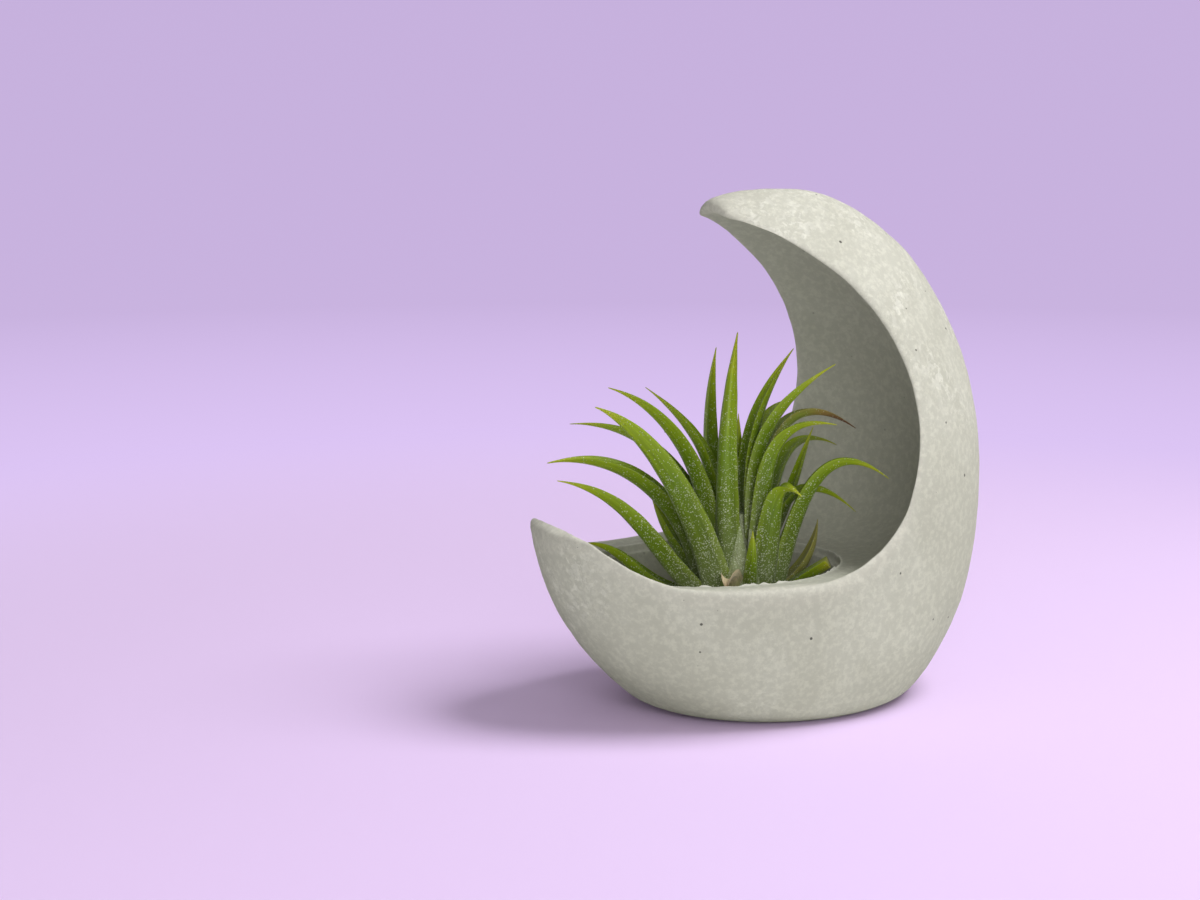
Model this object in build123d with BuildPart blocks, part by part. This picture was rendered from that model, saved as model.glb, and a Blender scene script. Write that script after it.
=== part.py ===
"""Air plant holder: a crescent moon cast in concrete, with the air plant that stands in its pocket.

The origin is on the table, under the egg's upright axis. +Z is up, the mouth opens towards -X and
the front face looks towards -Y.
"""
from build123d import *
import os
from math import cos, radians, sin

# Holder: the egg that the moon is cut from
height = 120.0                 # table to crown
back_reach = 53.4              # upright axis to the back of the moon
mouth_reach = 59.5             # upright axis to the side where the mouth opens
half_depth = 35.2              # upright axis to the front or the rear face, at the belly
belly_height = 52.5            # level where the egg is widest
foot_depth = 61.3              # below the belly, where the egg would close if it had no flat base
base_edge_radius = 3.0

# How full the egg's outline is: 0.5 is an ellipse, and less is squarer
crown_share = 0.5
back_foot_share = 0.42
mouth_foot_share = 0.51
depth_crown_share = 0.625
depth_foot_share = 0.303

# Where the egg's sections lie, from the table up to the belly and from there to the crown
foot_level_shares = (0.0, 0.18, 0.4, 0.6, 0.8, 1.0)
crown_level_shares = (0.2, 0.4, 0.58, 0.73, 0.85, 0.93, 0.975, 1.0)
crown_flat_share = 0.005       # of the crown's rise, cut level at the very top

# Holder: the tilted ellipsoid that scoops the mouth out
scoop_x = -11.0
scoop_height = 60.7
scoop_short_radius = 49.2
scoop_long_radius = 55.7
scoop_half_depth = 40.0
scoop_tilt = 34.0              # degrees, from +X up to the short radius
land_height = 33.6             # the flat at the bottom of the mouth
land_blend_radius = 2.5
upper_tip_x = -19.0            # where the upper horn ends blunt
lower_tip_height = 46.5        # where the lower horn ends blunt

# Holder: the stepped oval pocket
pocket_x = -14.5
pocket_length = 60.6
pocket_width = 52.8
step_depth = 1.6
ledge_width = 1.8
pocket_depth = 16.0
pocket_floor_radius = 3.0

# Plant: where it stands, its roots and its bulb of leaf bases
plant_x = -9.0
plant_y = -1.0
standing_clearance = 0.3       # under the roots
root_length = 3.0
root_radius = 4.0
bulb_radius = 8.0
bulb_rise = 8.0                # from the roots up to the bulb's widest level
neck_radius = 2.6
core_height = 24.0

# Plant: leaves
plant_reach = 44.0             # bulb axis to the furthest leaf tip
plant_rise = 69.4              # pocket floor to the highest leaf tip
leaf_width = 7.0
leaf_thickness = 1.2
leaf_station_shares = (0.0, 0.2, 0.42, 0.65, 0.85, 1.0)
leaf_taper_shares = (0.85, 1.0, 0.88, 0.62, 0.33, 0.1)
cut_taper_shares = (0.9, 1.0, 1.0, 1.0, 0.96, 0.9)

# Each leaf: the degrees of its azimuth, the degrees its root is turned from that, its width as a
# share of leaf_width, and four control points, as shares of plant_reach and of plant_rise
leaf_shares = {
    "leaf_left_low": (151, -5, 0.55, (0.17, 0.12), (0.48, 0.08), (0.55, 0.29), (0.82, 0.28)),
    "leaf_left_sagging": (176, -5, 0.75, (0.18, 0.12), (0.47, 0.27), (0.56, 0.49), (1.0, 0.54)),
    "leaf_left_arching": (160, -4, 0.85, (0.16, 0.15), (0.25, 0.42), (0.56, 0.63), (1.0, 0.57)),
    "leaf_left_rear": (140, -4, 0.6, (0.14, 0.19), (0.18, 0.48), (0.44, 0.7), (0.92, 0.67)),
    "leaf_left_broad": (186, 14, 1.0, (0.15, 0.15), (0.25, 0.41), (0.52, 0.71), (0.86, 0.79)),
    "leaf_left_high": (160, 14, 0.85, (0.13, 0.21), (0.1, 0.47), (0.29, 0.75), (0.68, 0.82)),
    "leaf_rear_left_high": (134, 4, 0.6, (0.1, 0.27), (0.07, 0.52), (0.18, 0.67), (0.52, 0.8)),
    "leaf_upright_left": (108, 0, 0.6, (0.1, 0.27), (0.22, 0.48), (0.25, 0.73), (0.17, 0.94)),
    "leaf_upright_tall": (218, 0, 0.85, (0.11, 0.22), (0.18, 0.47), (0.17, 0.76), (0.02, 1.0)),
    "leaf_upright_inner": (96, 0, 0.4, (0.05, 0.35), (0.07, 0.5), (0.09, 0.7), (0.07, 0.89)),
    "leaf_right_high": (-9, -10, 0.65, (0.05, 0.35), (0.02, 0.61), (0.07, 0.75), (0.3, 0.94)),
    "leaf_right_up": (-32, -6, 0.65, (0.08, 0.31), (0.05, 0.6), (0.11, 0.75), (0.5, 0.9)),
    "leaf_rear_right_high": (34, 10, 0.55, (0.09, 0.3), (0.14, 0.54), (0.18, 0.75), (0.6, 0.73)),
    "leaf_red_tipped": (-4, 6, 0.6, (0.11, 0.27), (0.08, 0.6), (0.25, 0.85), (0.68, 0.66)),
    "leaf_right_mid": (-54, -6, 0.65, (0.13, 0.24), (0.15, 0.48), (0.11, 0.75), (0.56, 0.72)),
    "leaf_rear_right_arching": (20, 0, 0.6, (0.17, 0.17), (0.25, 0.41), (0.27, 0.72), (0.79, 0.57)),
    "leaf_right_arching": (-29, 0, 0.65, (0.19, 0.14), (0.28, 0.35), (0.39, 0.72), (0.79, 0.52)),
    "leaf_rear_right_low": (-10, 0, 0.5, (0.18, 0.17), (0.15, 0.41), (0.34, 0.58), (0.66, 0.38)),
    "leaf_front_small": (-62, 0, 0.55, (0.16, 0.17), (0.24, 0.36), (0.18, 0.57), (0.4, 0.48)),
    "leaf_front_broad": (-98, 8, 0.85, (0.17, 0.14), (0.24, 0.22), (0.27, 0.34), (0.26, 0.44)),
    "leaf_olive": (-14, 0, 0.45, (0.2, 0.12), (0.32, 0.17), (0.42, 0.24), (0.44, 0.36)),
    "leaf_small_tip": (62, 0, 0.4, (0.07, 0.31), (0.13, 0.47), (0.11, 0.6), (0.09, 0.72)),
    "leaf_rear_left_short": (131, 0, 0.6, (0.16, 0.18), (0.3, 0.22), (0.41, 0.31), (0.5, 0.43)),
    "leaf_rear_curled": (104, 0, 0.55, (0.12, 0.22), (0.25, 0.4), (0.34, 0.61), (0.61, 0.62)),
    "leaf_rear_right_short": (6, 0, 0.45, (0.13, 0.25), (0.3, 0.34), (0.36, 0.5), (0.48, 0.66)),
    "dried_leaf": (-125, 0, 0.6, (0.17, 0.16), (0.25, 0.23), (0.33, 0.23), (0.37, 0.18)),
    "cut_leaf_stub": (-36, 0, 0.6, (0.2, 0.12), (0.3, 0.16), (0.39, 0.2), (0.48, 0.24)),
}

pocket_floor = land_height - pocket_depth
core_bottom = pocket_floor + standing_clearance + root_length


def girth(level, above_share, below_share):
    """Share of the belly's reach that the egg keeps at this level."""
    if level > belly_height:
        crown = (height - belly_height) * (1 + crown_flat_share)
        rise, fullness = (level - belly_height) / crown, above_share
    else:
        rise, fullness = (belly_height - level) / foot_depth, below_share
    return (1 - rise ** (1 / fullness)) ** fullness


def egg_levels():
    """Levels of the egg's sections, from the table to the crown."""
    foot = [belly_height * share for share in foot_level_shares]
    crown = [belly_height + (height - belly_height) * share for share in crown_level_shares]
    return foot + crown


# Concrete moon: an egg on a flat base
with BuildPart() as concrete_moon:
    for level in egg_levels():
        back = back_reach * girth(level, crown_share, back_foot_share)
        mouth = mouth_reach * girth(level, crown_share, mouth_foot_share)
        with BuildSketch(Plane(((back - mouth) / 2, 0, level))):
            Ellipse((back + mouth) / 2, half_depth * girth(level, depth_crown_share, depth_foot_share))
    loft()
    fillet(concrete_moon.edges().group_by(Axis.Z)[0], base_edge_radius)

# Mouth: an ellipsoid, tilted, with its bottom cut flat at the land
with BuildPart() as ellipsoid:
    Sphere(1)
    scale(by=(scoop_short_radius, scoop_half_depth, scoop_long_radius))
tilt = radians(scoop_tilt)
scoop_plane = Plane(
    origin=(scoop_x, 0, scoop_height),
    x_dir=(cos(tilt), 0, sin(tilt)),
    z_dir=(-sin(tilt), 0, cos(tilt)),
)
with BuildPart(scoop_plane) as scoop:
    add(ellipsoid.part)
with BuildPart() as mouth_void:
    add(scoop.part)
    split(bisect_by=Plane.XY.offset(land_height), keep=Keep.TOP)
    fillet(mouth_void.edges().group_by(Axis.Z)[0], land_blend_radius)

# Concrete moon: the mouth, the blunt ends of the two horns, and the stepped pocket
with concrete_moon:
    add(mouth_void.part, mode=Mode.SUBTRACT)
    with BuildSketch(Plane.XZ.offset(-half_depth)):
        with Locations((upper_tip_x, lower_tip_height)):
            Rectangle(mouth_reach, height, align=(Align.MAX, Align.MIN))
    extrude(amount=2 * half_depth, mode=Mode.SUBTRACT)
    with BuildSketch(Plane((pocket_x, 0, land_height))):
        Ellipse(pocket_length / 2, pocket_width / 2)
    extrude(amount=-step_depth, mode=Mode.SUBTRACT)
    with BuildSketch(Plane((pocket_x, 0, land_height))):
        Ellipse(pocket_length / 2 - ledge_width, pocket_width / 2 - ledge_width)
    extrude(amount=-pocket_depth, mode=Mode.SUBTRACT)
    pocket_floor_edge = concrete_moon.faces().filter_by(Plane.XY).filter_by(
        lambda face: abs(face.center().Z - pocket_floor) < step_depth
    ).edges()
    fillet(pocket_floor_edge, pocket_floor_radius)

# Roots: a short tuft under the bulb
with BuildPart() as root_tuft:
    with Locations((plant_x, plant_y, core_bottom)):
        Cylinder(root_radius, root_length, align=(Align.CENTER, Align.CENTER, Align.MAX))

# Plant core: the bulb of leaf bases, which narrows to the neck
with BuildPart() as plant_core:
    core_plane = Plane(origin=(plant_x, plant_y, core_bottom), x_dir=(1, 0, 0), z_dir=(0, -1, 0))
    with BuildSketch(core_plane):
        with BuildLine():
            Line((0, 0), (root_radius, 0))
            Spline((root_radius, 0), (bulb_radius, bulb_rise), (neck_radius, core_height))
            Line((neck_radius, core_height), (0, core_height))
            Line((0, core_height), (0, 0))
        make_face()
    revolve(axis=Axis((plant_x, plant_y, 0), (0, 0, 1)))


def spine_point(azimuth, reach_share, rise_share):
    """A point of a leaf's spine, from its azimuth in degrees and its shares."""
    turn, reach = radians(azimuth), plant_reach * reach_share
    rise = pocket_floor + plant_rise * rise_share
    return (plant_x + reach * cos(turn), plant_y + reach * sin(turn), rise)


def make_leaf(azimuth, root_turn, width_share, shares, taper_shares):
    """One leaf: flat ellipses lofted along a curved spine, from the core's surface to the tip."""
    turn = radians(azimuth)
    across = (-sin(turn), cos(turn), 0)
    points = [spine_point(azimuth + root_turn, *shares[0])]
    points += [spine_point(azimuth, *pair) for pair in shares[1:]]
    with BuildLine() as spine:
        Bezier(*points)
    curve = spine.edges()[0]
    with BuildPart() as leaf:
        for station, taper in zip(leaf_station_shares, taper_shares):
            plane = Plane(origin=curve @ station, x_dir=across, z_dir=curve % station)
            with BuildSketch(plane):
                Ellipse(leaf_width * width_share * taper / 2, leaf_thickness * taper ** 0.5 / 2)
        loft()
        add(plant_core.part, mode=Mode.SUBTRACT)
    return leaf.part


pieces = {
    "concrete_moon": concrete_moon.part,
    "root_tuft": root_tuft.part,
    "plant_core": plant_core.part,
}
for name, (azimuth, root_turn, width_share, *shares) in leaf_shares.items():
    taper_shares = cut_taper_shares if name == "cut_leaf_stub" else leaf_taper_shares
    pieces[name] = make_leaf(azimuth, root_turn, width_share, shares, taper_shares)

os.makedirs("parts", exist_ok=True)
for name, piece in pieces.items():
    piece.label = name
    export_step(piece, f"parts/{name}.step")
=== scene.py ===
import math

import bpy
import numpy as np
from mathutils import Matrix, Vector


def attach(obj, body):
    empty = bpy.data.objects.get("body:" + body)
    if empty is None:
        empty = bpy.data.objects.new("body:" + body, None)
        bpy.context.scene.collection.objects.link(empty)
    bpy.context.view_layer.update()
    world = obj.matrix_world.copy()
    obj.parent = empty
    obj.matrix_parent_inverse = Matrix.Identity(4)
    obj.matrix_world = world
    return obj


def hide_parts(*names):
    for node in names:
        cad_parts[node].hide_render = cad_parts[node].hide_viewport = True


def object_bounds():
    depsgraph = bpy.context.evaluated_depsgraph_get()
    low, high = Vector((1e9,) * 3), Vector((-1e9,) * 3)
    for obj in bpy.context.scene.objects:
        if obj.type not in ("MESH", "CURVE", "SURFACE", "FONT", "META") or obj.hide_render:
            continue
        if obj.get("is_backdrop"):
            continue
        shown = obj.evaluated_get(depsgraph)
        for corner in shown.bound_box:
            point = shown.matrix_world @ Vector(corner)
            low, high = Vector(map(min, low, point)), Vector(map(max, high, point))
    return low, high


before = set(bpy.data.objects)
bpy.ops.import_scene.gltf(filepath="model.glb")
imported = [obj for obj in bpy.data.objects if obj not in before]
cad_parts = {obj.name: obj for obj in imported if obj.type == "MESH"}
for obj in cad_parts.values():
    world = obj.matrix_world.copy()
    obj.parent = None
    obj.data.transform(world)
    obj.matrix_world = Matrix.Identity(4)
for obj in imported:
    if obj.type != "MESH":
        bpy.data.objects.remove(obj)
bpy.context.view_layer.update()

# Camera and stage. The holder stands on a seamless pale lilac sweep, seen from just above its
# lower lip. The sweep is lilac only to the camera, so that it throws no colour on the concrete.
# Away from the holder the sweep glows instead, darker with distance: a painted falloff of light.
CAMERA_PLACE = (-0.2507, -0.47225, 0.14695)
CAMERA_TURN = (80.63, 0.0, -23.69)      # degrees
CAMERA_LENS = 69.26                     # mm, as is the sensor
CAMERA_SENSOR = 36.0
SWEEP_FLAT_RADIUS, SWEEP_BEND, SWEEP_TOP = 1.1, 1.0, 1.6
LILAC = (0.850, 0.660, 0.975)
# the glow's lilac from near to far, darkening with distance: painted falloff of the light
LILAC_FAR_PAINTED_FALLOFF = ((0.0, (0.830, 0.645, 0.965)), (0.12, (0.715, 0.556, 0.905)),
             (0.38, (0.585, 0.452, 0.742)), (1.0, (0.560, 0.434, 0.716)))
WALL_WHITE = (0.72, 0.71, 0.72)
# past FLOOR_FADE the floor turns into the glow, which darkens along BACKDROP_RUN: painted falloff
FLOOR_FADE = (0.12, 0.42)               # m from the holder, where the floor turns to backdrop
BACKDROP_RUN = (0.16, 2.2)              # m from the holder, where the backdrop's colours run


def add_object(name, data):
    """A new object with its data, in the scene."""
    made = bpy.data.objects.new(name, data)
    bpy.context.collection.objects.link(made)
    return made


camera_data = bpy.data.cameras.new("photo_camera")
camera_data.lens, camera_data.sensor_width = CAMERA_LENS, CAMERA_SENSOR
camera_data.sensor_fit = "HORIZONTAL"
camera_data.clip_start, camera_data.clip_end = 0.02, 20.0
camera = add_object("photo_camera", camera_data)
camera.location = CAMERA_PLACE
camera.rotation_euler = [math.radians(turn) for turn in CAMERA_TURN]
bpy.context.scene.camera = camera


def node(tree, kind, place, **settings):
    """A shader node with its settings, and values for sockets named in_Something."""
    made = tree.nodes.new(kind)
    made.location = place
    for key, value in settings.items():
        if key.startswith("in_"):
            made.inputs[key[3:].replace("_", " ")].default_value = value
        else:
            setattr(made, key, value)
    return made


def new_material(name):
    """An empty node material, as (material, tree, output, object coordinates)."""
    material = bpy.data.materials.new(name)
    material.use_nodes = True
    tree = material.node_tree
    tree.nodes.clear()
    place = node(tree, "ShaderNodeTexCoord", (-1800, 0)).outputs["Object"]
    return material, tree, node(tree, "ShaderNodeOutputMaterial", (900, 0)), place


def link(tree, pairs):
    """Links many sockets at once."""
    for source, target in pairs:
        tree.links.new(source, target)


def colour_ramp(tree, place, value, stops):
    """Colours along a value from 0 to 1. Each stop is a place and its colour."""
    ramp = node(tree, "ShaderNodeValToRGB", place)
    for _ in stops[2:]:
        ramp.color_ramp.elements.new(0.5)
    for element, (at, colour) in zip(ramp.color_ramp.elements, stops):
        element.position, element.color = at, (*colour, 1)
    link(tree, [(value, ramp.inputs[0])])
    return ramp.outputs[0]


def ring_quads(rows, cols, first=0):
    """The quads between closed rings of points that are numbered from first."""
    start = first + np.arange(rows - 1)[:, None] * cols
    step, beyond = np.arange(cols), (np.arange(cols) + 1) % cols
    return np.stack([start + step, start + beyond, start + cols + beyond, start + cols + step],
                    -1).reshape(-1, 4)


def sweep_points(rows=90, cols=96):
    """Round studio sweep: flat to a radius, then a quarter circle up to a straight wall."""
    arc = SWEEP_BEND * math.pi / 2
    run = np.linspace(0.02, SWEEP_FLAT_RADIUS + arc + SWEEP_TOP, rows)
    bent = np.clip((run - SWEEP_FLAT_RADIUS) / SWEEP_BEND, 0, math.pi / 2)
    radius = np.minimum(run, SWEEP_FLAT_RADIUS) + SWEEP_BEND * np.sin(bent)
    level = SWEEP_BEND * (1 - np.cos(bent)) + np.maximum(run - SWEEP_FLAT_RADIUS - arc, 0)
    turn = np.linspace(0, 2 * math.pi, cols, endpoint=False)
    rings = np.stack(np.broadcast_arrays(radius[:, None] * np.cos(turn),
                                         radius[:, None] * np.sin(turn), level[:, None]), -1)
    faces = ring_quads(rows, cols)[:, ::-1].tolist() + [list(range(cols))]
    return rings.reshape(-1, 3), faces


sweep_mesh = bpy.data.meshes.new("studio_sweep")
points, faces = sweep_points()
sweep_mesh.from_pydata(points.tolist(), [], faces)
sweep_mesh.shade_smooth()
sweep = add_object("studio_sweep", sweep_mesh)
sweep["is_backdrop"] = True

sweep_material, tree, output, place = new_material("lilac_sweep")
light_path = node(tree, "ShaderNodeLightPath", (-400, 200))
to_camera = node(tree, "ShaderNodeBsdfDiffuse", (-200, 0), in_Color=(*LILAC, 1))
to_object = node(tree, "ShaderNodeBsdfDiffuse", (-200, -200), in_Color=(*WALL_WHITE, 1))
# past the lit floor the sweep glows, darker with distance: painted falloff of the light
distance = node(tree, "ShaderNodeVectorMath", (-1000, -400), operation="LENGTH")
far = node(tree, "ShaderNodeMapRange", (-800, -400),
           in_From_Min=BACKDROP_RUN[0], in_From_Max=BACKDROP_RUN[1])
painted_falloff_glow = node(tree, "ShaderNodeEmission", (-200, -400), in_Strength=1.0)
plain = node(tree, "ShaderNodeMapRange", (-800, -700), interpolation_type="SMOOTHSTEP",
             in_From_Min=FLOOR_FADE[0], in_From_Max=FLOOR_FADE[1])
seen = node(tree, "ShaderNodeMixShader", (50, -200))
choose = node(tree, "ShaderNodeMixShader", (300, 0))
link(tree, [(place, distance.inputs[0]),
            (distance.outputs["Value"], far.inputs["Value"]),
            (distance.outputs["Value"], plain.inputs["Value"]),
            (colour_ramp(tree, (-600, -400), far.outputs[0], LILAC_FAR_PAINTED_FALLOFF), painted_falloff_glow.inputs["Color"]),
            (plain.outputs[0], seen.inputs[0]),
            (to_camera.outputs[0], seen.inputs[1]),
            (painted_falloff_glow.outputs[0], seen.inputs[2]),
            (light_path.outputs["Is Camera Ray"], choose.inputs[0]),
            (to_object.outputs[0], choose.inputs[1]),
            (seen.outputs[0], choose.inputs[2]),
            (choose.outputs[0], output.inputs[0])])
sweep_mesh.materials.append(sweep_material)

# Light. One big soft box hangs above on the right, a weak one fills from the front left, and a
# dim even sky opens the shadows.
SOFT_BOXES = {                          # place and size in m, power in W
    "top_box": ((0.44, -0.24, 0.88), 0.55, 7.3),
    "front_fill": ((-0.28, -0.96, 0.34), 0.7, 3.9),
}
LAMP_TARGET = np.array([0.0, 0.0, 0.05])
SKY_STRENGTH = 0.41

for name, (place, size, power) in SOFT_BOXES.items():
    lamp_data = bpy.data.lights.new(name, "AREA")
    lamp_data.shape, lamp_data.size, lamp_data.energy = "DISK", size, power
    lamp = add_object(name, lamp_data)
    lamp.location = place
    to_target = LAMP_TARGET - np.array(place)
    flat = math.hypot(to_target[0], to_target[1])
    lamp.rotation_euler = (math.atan2(flat, -to_target[2]), 0,
                           math.atan2(to_target[1], to_target[0]) - math.pi / 2)

world = bpy.data.worlds.new("soft_sky")
world.use_nodes = True
sky = world.node_tree.nodes["Background"]
sky.inputs["Color"].default_value = (1, 1, 1, 1)
sky.inputs["Strength"].default_value = SKY_STRENGTH
bpy.context.scene.world = world
bpy.context.scene.view_settings.view_transform = "Standard"

# Concrete moon. One casting in fine concrete: an egg on a flat base, with a scooped mouth, a flat
# land at the bottom of the mouth, and a stepped oval pocket in the land. Its lips are rubbed
# round by hand, and the pocket's rim keeps a thin ragged flash from the mould. Sizes in mm.
MM = 0.001
EGG_HEIGHT, BELLY_HEIGHT, FOOT_DEPTH = 120.0, 52.5, 61.3
BACK_REACH, MOUTH_REACH, HALF_DEPTH = 53.4, 59.5, 35.2
CROWN_FLAT_SHARE = 0.005
# how full the egg's outline is above and below the belly: 0.5 is an ellipse, less is squarer
BACK_SHARES, MOUTH_SHARES, DEPTH_SHARES = (0.5, 0.42), (0.5, 0.51), (0.625, 0.303)
SCOOP_CENTRE, SCOOP_TILT = np.array([-11.0, 0.0, 60.7]), math.radians(34)
SCOOP_RADII = (49.2, 55.7, 40.0)        # along the tilt, across it, to the sides
MOUTH_LEAN = math.radians(44)           # how far the way out of the mouth rises
LAND_HEIGHT = 33.6
MOUTH_CORNER_RADIUS, BACK_CORNER_GAIN, CORNER_RUN = 1.5, 14.0, 24.0
UPPER_TIP_X, LOWER_TIP_HEIGHT = -17.2, 46.0
LIP_RADIUS, HORN_RADIUS, LIP_SINK, LIP_SWELL_MOST, BEAD_SPREAD = 3.2, 2.3, 1.0, 0.85, 5.0
HORN_FILL_PLACE, HORN_FILL, HORN_FILL_SPREAD = np.array([-58.0, 0.0, 46.0]), 4.4, 11.0
TIP_RADIUS, CROWN_EDGE_RADIUS, BASE_EDGE_RADIUS = 2.6, 1.0, 3.0
POCKET_X, POCKET_RADII, POCKET_FLOOR = -14.5, (30.3, 26.4), 17.6
STEP_DEPTH, LEDGE_WIDTH, FLOOR_RADIUS = 1.6, 1.8, 3.0
FLASH_HEIGHT = 0.5
CAST_WAVES = ((0.13, 17, 31), (0.05, 6, 32), (0.018, 2.6, 33))      # height, length, seed
AROUND = 460                            # points round every ring of the casting
LAND_ROWS, LIP_ROWS, EGG_ROWS, BASE_ROWS = 58, 15, 86, 9


def fullness(level, above, below):
    """Share of the belly's reach at a level: (1 - rise**(1/s))**s, s being above's or below's."""
    crown = (EGG_HEIGHT - BELLY_HEIGHT) * (1 + CROWN_FLAT_SHARE)
    up = np.clip((level - BELLY_HEIGHT) / crown, 0, 0.9995)
    down = np.clip((BELLY_HEIGHT - level) / FOOT_DEPTH, 0, 0.999)
    return (1 - up ** (1 / above)) ** above * (1 - down ** (1 / below)) ** below


def level_ellipse(level):
    """The egg's ellipse at a level: its reach along x, its middle's x, and its half depth."""
    back = BACK_REACH * fullness(level, *BACK_SHARES)
    mouth = MOUTH_REACH * fullness(level, *MOUTH_SHARES)
    return (back + mouth) / 2, (back - mouth) / 2, HALF_DEPTH * fullness(level, *DEPTH_SHARES)


def egg_field(p):
    """Square of the way out from a level's ellipse centre less the square of its reach."""
    reach, middle, deep = level_ellipse(p[..., 2])
    return (p[..., 0] - middle) ** 2 + (p[..., 1] * reach / deep) ** 2 - reach ** 2


def slope(field, p, step=0.02):
    """Gradient of a field at points, by central differences."""
    return np.stack([(field(p + push) - field(p - push)) / (2 * step)
                     for push in np.eye(3) * step], -1)


def egg_distance(p):
    """First-order distance to the egg: its field over the length of the field's slope."""
    return egg_field(p) / (np.linalg.norm(slope(egg_field, p), axis=-1) + 1e-9)


def scoop_axes(p):
    """A point in the scoop's own axes, each measured in that axis's radius."""
    x, y, z = np.moveaxis(p - SCOOP_CENTRE, -1, 0)
    cos, sin = math.cos(SCOOP_TILT), math.sin(SCOOP_TILT)
    return np.stack([x * cos + z * sin, z * cos - x * sin, y], -1) / SCOOP_RADII


def scoop_distance(p):
    """First-order distance to the scoop's ellipsoid, negative inside it."""
    local = scoop_axes(p)
    steepness = 2 * np.linalg.norm(local / SCOOP_RADII, axis=-1)
    return ((local ** 2).sum(-1) - 1) / (steepness + 1e-9)


def both(a, b, radius):
    """Where two solids overlap, with the edge between them rounded to a radius."""
    return np.minimum(-radius, np.maximum(a, b)) + np.hypot(np.maximum(radius + a, 0),
                                                            np.maximum(radius + b, 0))


def either(a, b, radius):
    """Two solids joined, with the corner between them filled to a radius."""
    return np.maximum(radius, np.minimum(a, b)) - np.hypot(np.maximum(radius - a, 0),
                                                           np.maximum(radius - b, 0))


def smooth(value, low, high):
    """0 below low, 1 above high, and an S-shaped run between them."""
    share = np.clip((value - low) / (high - low), 0, 1)
    return share * share * (3 - 2 * share)


def tip_cut(p):
    """Distance into the corner that blunts both tips."""
    return np.minimum(UPPER_TIP_X - p[..., 0], p[..., 2] - LOWER_TIP_HEIGHT)


def hollow(p):
    """Distance to what the scoop leaves: outside its ellipsoid or below the land, with the corner
    between them filled, more towards the back. Round the lower horn the scoop stays shallower,
    which leaves the horn thick enough to be blunt."""
    corner = MOUTH_CORNER_RADIUS + BACK_CORNER_GAIN * smooth(p[..., 0], 0, CORNER_RUN)
    left = either(-scoop_distance(p), p[..., 2] - LAND_HEIGHT, corner)
    away = ((p - HORN_FILL_PLACE) ** 2).sum(axis=-1)
    return left - HORN_FILL * np.exp(-away / HORN_FILL_SPREAD ** 2)


def casting(p, radius, swell):
    """Distance to the casting: the egg, less the scoop above the land, with every edge rounded.
    The faces swell a little where they meet, so that the rounded lip stays as high as it was."""
    egg, hollowed = egg_distance(p), hollow(p)
    bead = swell * np.exp(-((egg / BEAD_SPREAD) ** 2 + (hollowed / BEAD_SPREAD) ** 2))
    solid = both(egg - bead, hollowed - bead, radius)
    solid = both(solid, tip_cut(p), TIP_RADIUS)
    solid = both(solid, p[..., 2] - EGG_HEIGHT, CROWN_EDGE_RADIUS)
    return both(solid, -p[..., 2], BASE_EDGE_RADIUS)


def settle(p, rounds=7):
    """Moves points onto the casting's surface along its slope, by Newton's steps."""
    for _ in range(rounds):
        way = slope(rounded, p)
        size = (way ** 2).sum(-1, keepdims=True) + 1e-9
        move = rounded(p)[..., None] * way / size
        length = np.linalg.norm(move, axis=-1, keepdims=True)
        p = p - move * np.minimum(1, 2.0 / (length + 1e-9))
    return p


def relax(p, low, high, rounds):
    """Evens out the spacing of the rows between two, and puts them back on the surface."""
    for _ in range(rounds):
        band = p[low - 1:high + 1]
        across = (band[:-2] + band[2:]) / 2
        along = (np.roll(band[1:-1], 1, axis=1) + np.roll(band[1:-1], -1, axis=1)) / 2
        p[low:high] = 0.35 * band[1:-1] + 0.5 * across + 0.15 * along
        p[low:high] = settle(p[low:high], 2)
    return p


def unit(way):
    """Directions brought to a length of one."""
    return way / np.linalg.norm(way, axis=-1, keepdims=True)


def swing(a, b, share):
    """Directions on the great circle from a to b, at shares of the angle between them."""
    a, b = unit(a), unit(b)
    angle = np.arccos(np.clip((a * b).sum(-1, keepdims=True), -1, 1))
    return (np.sin((1 - share) * angle) * a + np.sin(share * angle) * b) / np.sin(angle)


def run_along(loop):
    """The way along a closed line from its first point to each point, and back to the first."""
    step = np.linalg.norm(np.diff(np.concatenate([loop, loop[:1]]), axis=0), axis=1)
    return np.concatenate([[0], np.cumsum(step)])


def at(wanted, known, loop):
    """Points of a closed line where a rising number takes the wanted values."""
    closed = np.concatenate([loop, loop[:1]])
    return np.stack([np.interp(wanted, known, closed[:, i]) for i in range(3)], -1)


def oval(middle, reach, deep, level, count=4000):
    """Horizontal oval from its mouth end round by the front."""
    turn = np.linspace(0, 2 * math.pi, count, endpoint=False)
    return np.stack([middle - reach * np.cos(turn), -deep * np.sin(turn), 0 * turn + level], -1)


def mouth_axes():
    """The way out of the mouth, the way down across it, and the way to the front."""
    cos, sin = math.cos(MOUTH_LEAN), math.sin(MOUTH_LEAN)
    return np.array([[-cos, 0, sin], [-sin, 0, -cos], [0, -1.0, 0]])


def lip_line(count=1200, steps=420, least=0.25, most=2.6):
    """Where the scoop or the land leaves the egg, found along rays from the scoop's centre that
    open from the mouth's axis by the least angle to the most."""
    out, down, front = mouth_axes()
    turn = np.linspace(0, 2 * math.pi, count, endpoint=False)[:, None, None]
    opened = np.linspace(least, most, steps)[None, :, None]
    way = np.cos(opened) * out + np.sin(opened) * (np.cos(turn) * down + np.sin(turn) * front)
    points = scoop_hit(way)
    past = np.maximum(egg_distance(points), tip_cut(points))
    last = steps - 1 - np.argmax(past[:, ::-1] > 0, axis=1)
    rows, beyond = np.arange(count), np.minimum(last + 1, steps - 1)
    near, a, b = points[rows, last], past[rows, last, None], past[rows, beyond, None]
    return near + (points[rows, beyond] - near) * a / (a - b + 1e-9)


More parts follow.
